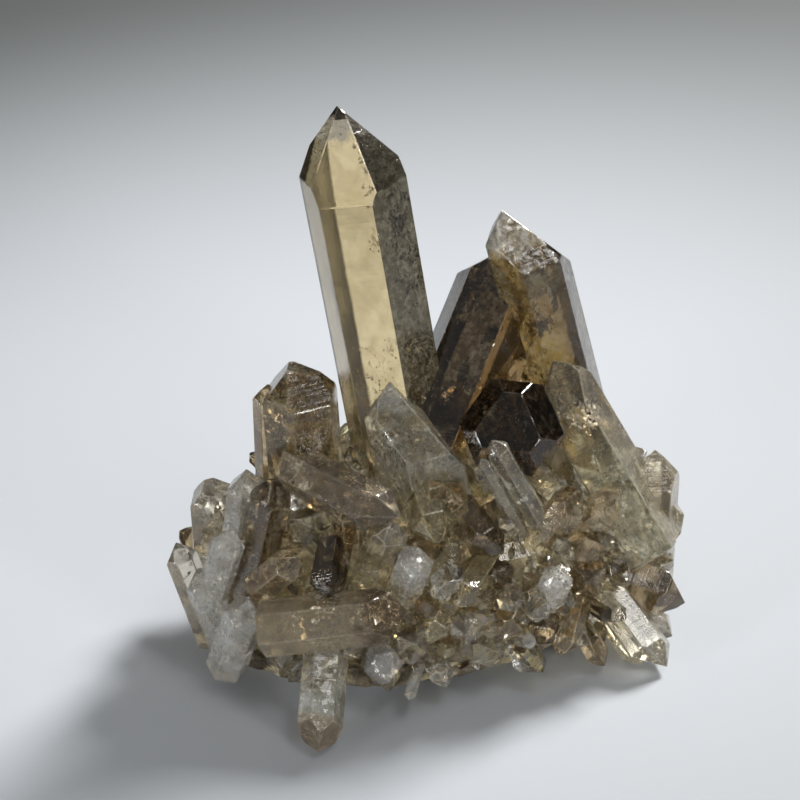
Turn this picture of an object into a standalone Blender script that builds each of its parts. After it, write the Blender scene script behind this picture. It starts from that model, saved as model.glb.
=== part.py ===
"""A smoky quartz cluster: tall and stout crystals that rise from a crust of small ones, on a thin piece of
host rock. Metres, +Z up. The origin is on the flat face that the rock rests on, near its middle, and the
side that is seen first faces -Y.
"""

import itertools
import math
import random

import bmesh
import bpy
import numpy as np
from mathutils import Matrix, Vector

MM = 0.001
SEED = 11

# How quartz is built: the angle between the long axis and the normal of a tip face, and the six sides.
TIP_FACE_TILT = math.radians(51.8)
SIDES = 6

# The gap that the crust keeps from the rock, and the distance under which two corners are one.
GAP = 0.35
WELD = 0.004

# Faces that meet at less than this are one flat face.
FLAT = math.radians(0.2)

# The crust's lump, level by level from its foot up: height, centre x and y, half width and half depth.
LUMP_LEVELS = [
    (5.0, 1.0, 2.0, 40.0, 24.0),
    (9.0, 4.0, 2.0, 46.0, 28.5),
    (19.0, 6.5, 3.0, 50.0, 28.5),
    (28.0, 8.5, 5.5, 45.5, 24.0),
    (35.0, 7.5, 8.0, 36.5, 19.0),
    (40.0, 6.0, 10.0, 26.0, 13.0),
    (43.0, 5.0, 11.0, 12.0, 7.0),
]
LUMP_SEGMENTS = 22
LUMP_ROUGHNESS = 1.3

# The rock, level by level from its resting face up, in the same way.
ROCK_LEVELS = [
    (0.0, 0.0, 2.0, 36.0, 21.0),
    (4.0, 0.0, 2.0, 43.0, 27.5),
    (8.5, 0.0, 2.5, 44.0, 28.0),
    (11.5, 0.0, 3.0, 38.0, 22.0),
]
ROCK_SEGMENTS = 34
ROCK_ROUGHNESS = 0.9

# How far each tip face is set back, as a share of the width, from the front one round.
EVEN_TIP = (0.0, 0.12, 0.0, 0.12, 0.0, 0.12)
THREE_SIDED_TIP = (0.0, 0.3, 0.0, 0.3, 0.0, 0.3)
SLANTED_TIP = (0.0, 0.0, 0.25, 0.3, 0.25, 0.1)
LONG_TIP = (0.35, 0.0, 0.3, 0.1, 0.35, 0.0)
TALL_TIP = (0.0, 0.05, 0.0, 0.1, 0.05, 0.0)

# The large crystals: root and tip in mm, width across the flats, and how far the front side is turned to the
# right in degrees. Off is how far the tip stands behind and to the right of the middle line. Cut is a face
# across the end: how far it leans to the front and to the right, and how far below the tip it lies.
LARGE_CRYSTALS = {
    "tall_point": dict(
        root=(3, 6, 34), tip=(-3.3, 13, 122.5), width=19.5, turn=-12, off=(3.5, -0.5), faces=TALL_TIP
    ),
    "dark_leaning_point": dict(root=(7, -3, 42), tip=(34, 30, 80.5), width=19.5, turn=25),
    "frosted_point": dict(
        root=(43, 14, 28), tip=(28.8, 16, 94.5), width=15, turn=15, off=(1, -2.8), cut=(-0.5, 1.45, 0.5)
    ),
    "right_point": dict(root=(53.5, -6.5, 20), tip=(36.3, 4, 63.5), width=16, turn=10, off=(0, 3.5)),
    "dark_end_on_point": dict(root=(28.2, 4.5, 46), tip=(23.8, -18.5, 62.5), width=19.5, turn=-25, cut=(0, 0, 6.5)),
    "clear_middle_point": dict(
        root=(9, 1, 20), tip=(1.3, -4, 67), width=20.5, turn=10, off=(0, -5), cut=(-0.3, 1.9, 0.5)
    ),
    "stout_left_point": dict(root=(-19.5, 5, 32), tip=(-18, 6, 70), width=15, turn=20, cut=(-0.1, 0.25, 3)),
    "small_left_point": dict(root=(-27, 8, 40), tip=(-25, 9, 62.5), width=6, turn=0, cut=(0, -0.2, 1)),
    "forward_left_point": dict(root=(-22, 1, 46), tip=(-1.1, -20, 43), width=9.5, turn=30, faces=SLANTED_TIP),
    "flat_topped_point": dict(root=(-41, 4, 14), tip=(-38.8, 4, 44.5), width=11, turn=25, cut=(0, 0.1, 4)),
    "rounded_left_point": dict(root=(-38, -6, 14), tip=(-30.6, -3, 49), width=8, turn=15, cut=(0.4, 0.3, 2)),
    "long_left_point": dict(root=(-38, -12, 10), tip=(-25, -8, 49), width=8.5, turn=30),
    "grey_left_facet": dict(root=(-43, -11.5, 20), tip=(-35, -14, 41), width=6.4, turn=0),
    "far_left_point": dict(root=(-43.5, -8, 8), tip=(-48.7, -4, 32.7), width=6.5, turn=20),
    "silver_left_point": dict(root=(-39, -12, 7), tip=(-44, -12, 31), width=7.5, turn=10, cut=(0, 0.3, 1.5)),
    "silver_front_point": dict(root=(-41, -15, 6), tip=(-33, -22, 28), width=8, turn=0),
    "lying_point": dict(root=(-31, -24, 21.5), tip=(-0.4, -29, 25.5), width=10.5, turn=25, faces=LONG_TIP),
    "hanging_point": dict(root=(-17, -20, 20), tip=(-21.6, -43, 3), width=8.5, turn=5, faces=LONG_TIP),
    "long_rod": dict(root=(31, -14, 32), tip=(21, -17, 58), width=4.5, turn=30),
    "short_rod": dict(root=(26, -14, 32), tip=(18.5, -17, 54), width=2.8, turn=10),
    "olive_point": dict(root=(23, -7, 30), tip=(17, -8, 53), width=7, turn=10, cut=(0.3, 0, 1.5)),
    "grey_facet_point": dict(
        root=(26, -13, 23), tip=(38.5, -16, 43), width=7, turn=20, faces=THREE_SIDED_TIP
    ),
    "grey_facet_twin": dict(root=(34, -9, 26), tip=(47, -14, 39), width=7.5, turn=0, faces=SLANTED_TIP),
    "right_brown_point": dict(root=(38, -7, 21), tip=(60.5, -14, 9.5), width=10, turn=10),
    "white_face_point": dict(root=(42, -10, 16), tip=(53, -26, 2.5), width=8, turn=25, faces=SLANTED_TIP),
    "under_right_point": dict(root=(40, -11, 13), tip=(49, -24, 2), width=5, turn=0),
    "under_right_twin": dict(root=(35, -14, 12), tip=(41, -25, 3), width=5, turn=20),
    "behind_right_point": dict(root=(44, -6, 12), tip=(57, -17, 3), width=6, turn=10),
    "clear_right_point": dict(root=(52, -5, 4), tip=(57, 0, 41), width=12, turn=5, off=(0, 1)),
    "clear_right_twin": dict(root=(44, -4, 15), tip=(62.5, -3, 29), width=10, turn=15, cut=(0, 0, 2)),
    "clear_low_point": dict(root=(44, -7, 17), tip=(60, -8, 17), width=8, turn=25, cut=(0, 0, 1)),
    "front_low_point": dict(root=(-7, -20, 14), tip=(-5.5, -30, 6), width=5, turn=0),
    "front_low_twin": dict(root=(3, -20, 13), tip=(6.5, -31, 6.5), width=5, turn=30),
    "amber_point": dict(root=(-6, -14, 28), tip=(-9, -26, 34), width=8, turn=0, cut=(0, 0, 1)),
    "small_pair_point": dict(root=(-11, -12, 30), tip=(-10.5, -16, 46.5), width=5.5, turn=10),
    "middle_crust_point": dict(root=(14, -6, 28), tip=(7.5, -15, 48), width=10, turn=20, cut=(0, 0.3, 1)),
    "dark_crust_point": dict(root=(12, -8, 38), tip=(21, -21, 32.5), width=8, turn=10),
    "round_crust_point": dict(root=(6, -12, 42), tip=(8, -23, 38), width=8, turn=0),
    "left_crust_point": dict(root=(-6, -15, 28), tip=(-1, -19, 42), width=6.5, turn=20),
    "silver_crust_point": dict(root=(29, -18, 12), tip=(32.6, -25, 29.5), width=6.5, turn=10),
    "grey_crust_point": dict(root=(-2, -18, 20), tip=(4, -24.5, 38), width=7.5, turn=15),
    "upper_left_crust_point": dict(root=(-31, -16, 27), tip=(-21.5, -22, 38), width=7, turn=5),
    "left_slope_point": dict(root=(-14, -14, 34), tip=(-17, -27, 30), width=7.5, turn=15),
    "middle_slope_point": dict(root=(17, -16, 27), tip=(10, -28, 25.5), width=7, turn=30),
    "right_slope_point": dict(root=(26, -18, 20), tip=(18, -28, 15), width=7, turn=0),
    "lower_slope_point": dict(root=(36, -19, 18), tip=(31, -27.5, 9), width=6.5, turn=20),
    "front_slope_point": dict(root=(10, -20, 24), tip=(3.5, -30, 18), width=6, turn=10),
    "back_stout_point": dict(root=(-14, 18, 24), tip=(-24, 31, 48), width=13, turn=15),
    "back_tall_point": dict(root=(27, 15, 20), tip=(27, 21, 63), width=17, turn=8),
    "back_lying_point": dict(root=(14, 20, 28), tip=(2, 42, 36), width=10, turn=25),
    "back_right_point": dict(root=(32, 16, 18), tip=(44, 36, 31), width=12, turn=5, cut=(0, 0.3, 2)),
    "back_left_point": dict(root=(-32, 14, 16), tip=(-45, 24, 27), width=9, turn=20),
    "back_low_point": dict(root=(22, 24, 18), tip=(30, 42, 22), width=8, turn=0),
    "back_hanging_point": dict(root=(-12, 24, 20), tip=(-18, 42, 12), width=7.5, turn=10),
    "right_back_point": dict(root=(42, 9, 14), tip=(55, 18, 24), width=9, turn=10),
    "left_back_point": dict(root=(-36, 6, 16), tip=(-50, 14, 24), width=8, turn=30),
}

# The crust's small crystals: how many, how far apart their roots are, and how they vary.
CRUST_COUNT = 98
CRUST_SPACING = 5.5
CRUST_HEIGHTS = (9.0, 41.0)
CRUST_LENGTH = (3.5, 8.5)
CRUST_WIDTH = (3.5, 8.0)
CRUST_DEPTH = 5.0
CRUST_TILT = 0.7
CRUST_SET_BACK = 0.25
LOWEST_TIP = 5.0

QUARTZ_COLOUR = (0.30, 0.23, 0.14)
ROCK_COLOUR = (0.16, 0.13, 0.10)


def plain_material(name, colour, roughness):
    """A Principled material of one colour."""
    material = bpy.data.materials.new(name)
    material.use_nodes = True
    shader = material.node_tree.nodes["Principled BSDF"]
    shader.inputs["Base Color"].default_value = (*colour, 1.0)
    shader.inputs["Roughness"].default_value = roughness
    shader.inputs["Metallic"].default_value = 0.0
    return material


def across_axis(axis, turn):
    """Two directions across the axis: the first faces the front, turned to the right by the given degrees."""
    front = Vector((0, -1, 0))
    if abs(axis.dot(front)) > 0.85:
        front = Vector((0, 0, 1))
    across = (front - axis * front.dot(axis)).normalized()
    across = Matrix.Rotation(math.radians(turn), 3, axis) @ across
    return across, axis.cross(across)


def crystal_planes(root, tip, width, turn=0, off=(0, 0), faces=EVEN_TIP, cut=None):
    """The faces of one quartz crystal, as outward normals and distances from the origin."""
    root = Vector(root)
    tip = Vector(tip)
    axis = (tip - root).normalized()
    front, right = across_axis(axis, 0)
    middle = tip + front * off[0] - right * off[1]
    axis = (middle - root).normalized()
    first, second = across_axis(axis, turn)
    planes = [(-axis, -axis.dot(root))]
    for side in range(SIDES):
        angle = side * math.tau / SIDES
        outward = first * math.cos(angle) + second * math.sin(angle)
        planes.append((outward, outward.dot(middle) + width / 2))
        slope = outward * math.sin(TIP_FACE_TILT) + axis * math.cos(TIP_FACE_TILT)
        planes.append((slope, slope.dot(tip) + faces[side] * width * math.cos(TIP_FACE_TILT)))
    if cut:
        across = (axis + front * cut[0] + right * cut[1]).normalized()
        planes.append((across, across.dot(tip - axis * cut[2])))
    return planes


def corners_of(planes):
    """The corners of the convex solid that the planes enclose."""
    normals = np.array([plane[0][:] for plane in planes])
    distances = np.array([plane[1] for plane in planes])
    trios = np.array(list(itertools.combinations(range(len(planes)), 3)))
    trios = trios[np.abs(np.linalg.det(normals[trios])) > 1e-3]
    points = np.linalg.solve(normals[trios], distances[trios][..., None])[..., 0]
    inside = (points @ normals.T <= distances + 1e-6).all(axis=1)
    return points[inside]


def hull_mesh(name, corners):
    """A closed mesh with one flat face for each side of the corners' hull."""
    shape = bmesh.new()
    for corner in corners:
        shape.verts.new(Vector(corner) * MM)
    bmesh.ops.remove_doubles(shape, verts=shape.verts, dist=WELD * MM)
    hull = bmesh.ops.convex_hull(shape, input=shape.verts)
    unused = [item for item in hull["geom_interior"] if isinstance(item, bmesh.types.BMVert)]
    bmesh.ops.delete(shape, geom=unused, context="VERTS")
    bmesh.ops.dissolve_limit(shape, angle_limit=FLAT, verts=shape.verts, edges=shape.edges)
    mesh = bpy.data.meshes.new(name)
    shape.to_mesh(mesh)
    shape.free()
    return mesh


def crystal(name, root, tip, **form):
    """One quartz crystal as an object: six flat sides, a six-faced tip, and a flat root."""
    corners = corners_of(crystal_planes(root, tip, **form))
    return bpy.data.objects.new(name, hull_mesh(name, corners))


def ring(level, segments, grow, rough, rng):
    """One closed outline of a lump: an ellipse with its points moved in and out at random."""
    height, middle_x, middle_y, half_width, half_depth = level
    points = []
    for index in range(segments):
        angle = index * math.tau / segments
        push = grow + rng.uniform(-rough, rough)
        x = middle_x + (half_width + push) * math.cos(angle)
        y = middle_y + (half_depth + push) * math.sin(angle)
        points.append(Vector((x, y, height + rng.uniform(-rough, rough) / 2)))
    return points


def lump_mesh(name, rings):
    """A closed mesh through the rings, with a flat face at its foot and at its top."""
    shape = bmesh.new()
    loops = [[shape.verts.new(point * MM) for point in points] for points in rings]
    for lower, upper in itertools.pairwise(loops):
        for index, corner in enumerate(lower):
            following = (index + 1) % len(lower)
            shape.faces.new((corner, lower[following], upper[following]))
            shape.faces.new((corner, upper[following], upper[index]))
    shape.faces.new(list(reversed(loops[0])))
    shape.faces.new(loops[-1])
    bmesh.ops.recalc_face_normals(shape, faces=shape.faces)
    mesh = bpy.data.meshes.new(name)
    shape.to_mesh(mesh)
    shape.free()
    return mesh


def rock_rings(grow):
    """The rock's outlines. Grow makes every side larger by that much, for the hollow that it sits in."""
    rng = random.Random(SEED)
    rings = [ring(level, ROCK_SEGMENTS, grow, ROCK_ROUGHNESS, rng) for level in ROCK_LEVELS]
    rings[0] = [Vector((point.x, point.y, ROCK_LEVELS[0][0] - grow)) for point in rings[0]]
    rings[-1] = [Vector((point.x, point.y, ROCK_LEVELS[-1][0] + grow)) for point in rings[-1]]
    return rings


def lump_point(height, angle):
    """A point of the crust's smooth lump."""
    levels = np.array(LUMP_LEVELS)
    middle_x, middle_y, half_width, half_depth = (
        float(np.interp(height, levels[:, 0], levels[:, column])) for column in range(1, 5)
    )
    x = middle_x + half_width * math.cos(angle)
    y = middle_y + half_depth * math.sin(angle)
    return Vector((x, y, height))


def lump_normal(height, angle):
    """The direction that the lump faces there."""
    along = lump_point(height, angle + 0.05) - lump_point(height, angle - 0.05)
    up = lump_point(height + 1.5, angle) - lump_point(height - 1.5, angle)
    return along.cross(up).normalized()


def is_inside(point, planes, margin):
    """Whether a point lies inside the planes' solid, by at least the margin."""
    return all(normal.dot(point) < distance - margin for normal, distance in planes)


def crust_crystals(rng):
    """Small crystals all over the lump, each tilted at random from the way the lump faces."""
    large = [crystal_planes(**form) for form in LARGE_CRYSTALS.values()]
    roots = []
    crystals = []
    while len(crystals) < CRUST_COUNT:
        height = rng.uniform(*CRUST_HEIGHTS)
        angle = rng.uniform(0, math.tau)
        root = lump_point(height, angle)
        if any((root - other).length < CRUST_SPACING for other in roots):
            continue
        roots.append(root)
        tilt = Vector([rng.gauss(0, CRUST_TILT / 2) for _ in range(3)])
        way = (lump_normal(height, angle) + tilt).normalized()
        tip = root + way * rng.uniform(*CRUST_LENGTH)
        tip.z = max(tip.z, LOWEST_TIP)
        if any(is_inside(tip, planes, 0) for planes in large):
            continue
        faces = [rng.uniform(0, CRUST_SET_BACK) for _ in range(SIDES)]
        form = dict(width=rng.uniform(*CRUST_WIDTH), turn=rng.uniform(0, 60), faces=faces)
        crystals.append(crystal("crust", root - way * CRUST_DEPTH, tip, **form))
    return crystals


def combine(base, name, operation, others):
    """A Boolean between the base and a group of other solids, which are no part of the result themselves."""
    group = bpy.data.collections.new(name)
    for other in others:
        group.objects.link(other)
        other.hide_render = True
        other.display_type = "WIRE"
    modifier = base.modifiers.new(name, "BOOLEAN")
    modifier.operation = operation
    modifier.operand_type = "COLLECTION"
    modifier.collection = group
    modifier.solver = "EXACT"


def outer_shell(shape):
    """Deletes all but the tallest shell of a mesh: what a join leaves inside is no surface of the solid."""
    waiting = set(shape.verts)
    shells = []
    while waiting:
        edge_of_shell = [waiting.pop()]
        shell = set(edge_of_shell)
        while edge_of_shell:
            for edge in edge_of_shell.pop().link_edges:
                for corner in edge.verts:
                    if corner not in shell:
                        shell.add(corner)
                        edge_of_shell.append(corner)
        waiting -= shell
        shells.append(shell)
    shells.sort(key=lambda shell: max(corner.co.z for corner in shell) - min(corner.co.z for corner in shell))
    for shell in shells[:-1]:
        bmesh.ops.delete(shape, geom=list(shell), context="VERTS")


def settle(item):
    """Replaces an object's modifiers with their result, as one clean closed mesh."""
    bpy.context.view_layer.update()
    graph = bpy.context.evaluated_depsgraph_get()
    mesh = bpy.data.meshes.new_from_object(item.evaluated_get(graph))
    shape = bmesh.new()
    shape.from_mesh(mesh)
    outer_shell(shape)
    bmesh.ops.triangulate(shape, faces=shape.faces)
    shape.to_mesh(mesh)
    shape.free()
    item.modifiers.clear()
    item.data = mesh
    mesh.materials.clear()


def make_rock():
    """The thin piece of host rock under the crust."""
    rock = bpy.data.objects.new("matrix", lump_mesh("matrix", rock_rings(0)))
    rock.data.materials.append(plain_material("rock", ROCK_COLOUR, 0.9))
    return rock


def make_cluster():
    """All the quartz, grown together into one solid that sits over the rock."""
    rng = random.Random(SEED)
    rings = [ring(level, LUMP_SEGMENTS, 0, LUMP_ROUGHNESS, rng) for level in LUMP_LEVELS]
    cluster = bpy.data.objects.new("quartz_cluster", lump_mesh("quartz_cluster", rings))
    bpy.context.scene.collection.objects.link(cluster)
    grown = [crystal(name, **form) for name, form in LARGE_CRYSTALS.items()] + crust_crystals(rng)
    hollow = [bpy.data.objects.new("hollow", lump_mesh("hollow", rock_rings(GAP)))]
    combine(cluster, "growths", "UNION", grown)
    combine(cluster, "hollows", "DIFFERENCE", hollow)
    settle(cluster)
    for helper in grown + hollow:
        bpy.data.objects.remove(helper, do_unlink=True)
    cluster.data.materials.append(plain_material("quartz", QUARTZ_COLOUR, 0.15))


def main():
    for old in list(bpy.data.objects):
        bpy.data.objects.remove(old, do_unlink=True)
    bpy.context.scene.collection.objects.link(make_rock())
    make_cluster()


main()
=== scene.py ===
"""The looks of the smoky quartz cluster: the crystals in clear, smoky quartz with their striped faces, inner
clouds and cracks, the crust of small crystals between them, and the grainy host rock under it all.
Metres, +Z up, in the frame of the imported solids. The table of crystals is written in millimetres.
"""

import itertools
import math
import random

import bmesh
import bpy
import numpy as np
from mathutils import Matrix, Vector, noise

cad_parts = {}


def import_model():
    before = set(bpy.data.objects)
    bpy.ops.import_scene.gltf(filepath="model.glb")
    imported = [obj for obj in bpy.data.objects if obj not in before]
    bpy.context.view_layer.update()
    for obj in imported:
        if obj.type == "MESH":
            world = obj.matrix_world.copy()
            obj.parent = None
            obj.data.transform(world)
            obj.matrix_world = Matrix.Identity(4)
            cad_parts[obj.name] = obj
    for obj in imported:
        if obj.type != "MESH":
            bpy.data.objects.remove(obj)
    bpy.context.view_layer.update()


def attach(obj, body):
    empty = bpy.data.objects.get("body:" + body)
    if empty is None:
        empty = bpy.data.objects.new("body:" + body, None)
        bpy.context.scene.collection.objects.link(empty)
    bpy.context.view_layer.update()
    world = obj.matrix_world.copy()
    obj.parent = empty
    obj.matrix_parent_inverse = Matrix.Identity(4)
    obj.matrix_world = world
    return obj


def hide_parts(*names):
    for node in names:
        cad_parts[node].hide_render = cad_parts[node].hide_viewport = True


MM = 0.001
SEED = 11

# How quartz is built, and the distance under which two corners are one, in mm.
TIP_FACE_TILT = math.radians(51.8)
SIDES = 6
WELD = 0.004
FLAT = math.radians(0.2)
GAP = 0.35

# The solids' lump and rock, level by level: height, centre x and y, half width and half depth.
LUMP_LEVELS = [
    (5.0, 1.0, 2.0, 40.0, 24.0),
    (9.0, 4.0, 2.0, 46.0, 28.5),
    (19.0, 6.5, 3.0, 50.0, 28.5),
    (28.0, 8.5, 5.5, 45.5, 24.0),
    (35.0, 7.5, 8.0, 36.5, 19.0),
    (40.0, 6.0, 10.0, 26.0, 13.0),
    (43.0, 5.0, 11.0, 12.0, 7.0),
]
LUMP_SEGMENTS = 22
LUMP_ROUGHNESS = 1.3
ROCK_LEVELS = [
    (0.0, 0.0, 2.0, 36.0, 21.0),
    (4.0, 0.0, 2.0, 43.0, 27.5),
    (8.5, 0.0, 2.5, 44.0, 28.0),
    (11.5, 0.0, 3.0, 38.0, 22.0),
]
ROCK_SEGMENTS = 34
ROCK_ROUGHNESS = 0.9

EVEN_TIP = (0.0, 0.12, 0.0, 0.12, 0.0, 0.12)
THREE_SIDED_TIP = (0.0, 0.3, 0.0, 0.3, 0.0, 0.3)
SLANTED_TIP = (0.0, 0.0, 0.25, 0.3, 0.25, 0.1)
LONG_TIP = (0.35, 0.0, 0.3, 0.1, 0.35, 0.0)
TALL_TIP = (0.0, 0.05, 0.0, 0.1, 0.05, 0.0)

# The colours of what the crystals hold inside.
CREAM_DUST = (0.80, 0.74, 0.60)
WHITE_DUST = (0.90, 0.91, 0.90)
BROWN_DUST = (0.30, 0.21, 0.12)
TAN_DUST = (0.62, 0.50, 0.30)
GREEN_DUST = (0.55, 0.58, 0.50)


# How a crystal looks. The colour is what its faces let through. Cloud is how mottled it is, frost how frosted.
# The cap is the zone within cap_length mm of the tip, with a colour and frost of its own. Cracks and dust say
# how much there is of each inside, in a dust_colour. Shades darken or lighten its six sides, from the front one
# round to the right: on the crust they vary at random, on the large crystals they are painted shade and light.
def make_look(colour, **rest):
    plain = dict(cloud=0.3, frost=0.0, cap=colour, cap_frost=rest.get("frost", 0.0), cap_length=0.0)
    plain |= dict(cracks=1.0, dust=1.0, dust_colour=CREAM_DUST, shades=(1,) * 6, clouds=(1,) * 6)
    return plain | rest | dict(colour=colour)


TAN = make_look((0.93, 0.86, 0.68), cloud=0.6, frost=0.02)
PALE = make_look((0.98, 0.95, 0.84), cloud=0.3, frost=0.02, cracks=1.4, dust=0.6)
GREY = make_look((0.97, 0.93, 0.84), cloud=0.4, frost=0.04, cracks=1.6)
BROWN = make_look((0.72, 0.58, 0.37), cloud=0.9, dust=2.0, dust_colour=TAN_DUST)
UMBER = make_look((0.30, 0.21, 0.11), cloud=0.9, dust=1.2, cracks=1.5)
DARK = make_look((0.10, 0.07, 0.04), cloud=0.5, dust=0.3)
OLIVE = make_look((0.92, 0.85, 0.60), cloud=0.7, frost=0.02, dust=1.5)
SILVER = make_look((0.99, 0.98, 0.94), cloud=0.4, frost=0.20, cracks=11.0, dust=9.0, dust_colour=WHITE_DUST)
RUSSET = make_look((0.20, 0.13, 0.06), cloud=0.5, dust=0.5, cracks=0.8)
ROD = make_look((0.70, 0.67, 0.58), cloud=0.3, frost=0.08, dust=3.0, dust_colour=WHITE_DUST)
# Painted shade: the right sides are darkened and the left side dimmed, and the grey cap is a painted reflection.
TALL = make_look(
    (0.99, 0.84, 0.52), cloud=0.5, cap=(0.30, 0.29, 0.30), cap_length=5.5,
    shades=(1, 0.030, 0.16, 1, 0.6, 0.2), clouds=(0.5, 1.2, 1.6, 1, 1, 1.2), dust_colour=BROWN_DUST
)
# Painted shade and light: the main and left faces darkened, the right face brightened, and the grey cap is a painted
# reflection.
LEANING = make_look(
    (0.10, 0.058, 0.020), cap=(0.12, 0.12, 0.13), cap_length=8.0, shades=(3, 9, 3, 2, 0.1, 0.1),
    clouds=(1, 2, 2, 1, 1, 1), dust=0.5, cracks=0.6, dust_colour=TAN_DUST
)
# Painted shade: the right and front sides darkened.
FROSTED = make_look(
    (0.54, 0.36, 0.11), cloud=1.0, frost=0.05, cap=(0.68, 0.68, 0.65), cap_frost=0.45, cap_length=8.0, dust=14.0,
    dust_colour=(0.50, 0.38, 0.20), shades=(0.5, 0.1, 0.3, 0.8, 1, 0.8)
)
# Painted shade and light: the left side darkened and the front lightened.
RIGHT = make_look(
    (0.98, 0.92, 0.75), cloud=0.2, frost=0.03, cap=(0.50, 0.46, 0.38), cap_length=16.0, cracks=3.0, dust=1.2,
    shades=(1.1, 1, 1, 1, 1, 0.3)
)
# Painted light and shade: the lower and lower right sides lightened, the top and upper left darkened.
END_ON = make_look(
    (0.024, 0.010, 0.001), cloud=0.6, shades=(3, 4, 1, 0.5, 0.5, 1), dust=0.25, cracks=0.5, dust_colour=TAN_DUST
)
MIDDLE = make_look(
    (0.90, 0.89, 0.82), cloud=0.3, frost=0.02, cap=(0.68, 0.69, 0.67), cap_frost=0.22, cap_length=4.0, cracks=4.0,
    dust=0.5, dust_colour=WHITE_DUST
)
STOUT = make_look(
    (0.44, 0.34, 0.17), cloud=1.0, cap=(0.80, 0.77, 0.74), cap_length=4.0, dust=2.0, cracks=3.0
)
# Its even grey-violet is partly its own smoky colour and partly a painted reflection of the surroundings.
FORWARD = make_look((0.50, 0.44, 0.37), cloud=0.1, frost=0.10, dust=0.2, cracks=0.2)
HANGING = make_look(
    (0.94, 0.95, 0.88), cloud=0.8, frost=0.10, cap=(0.70, 0.58, 0.42), cap_length=7.0, dust=2.5, cracks=0.6,
    dust_colour=GREEN_DUST
)
LYING = make_look(
    (0.82, 0.74, 0.60), cloud=0.15, frost=0.11, cap=(0.34, 0.26, 0.17), cap_length=8.5, cracks=0.5, dust=1.2
)

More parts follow.
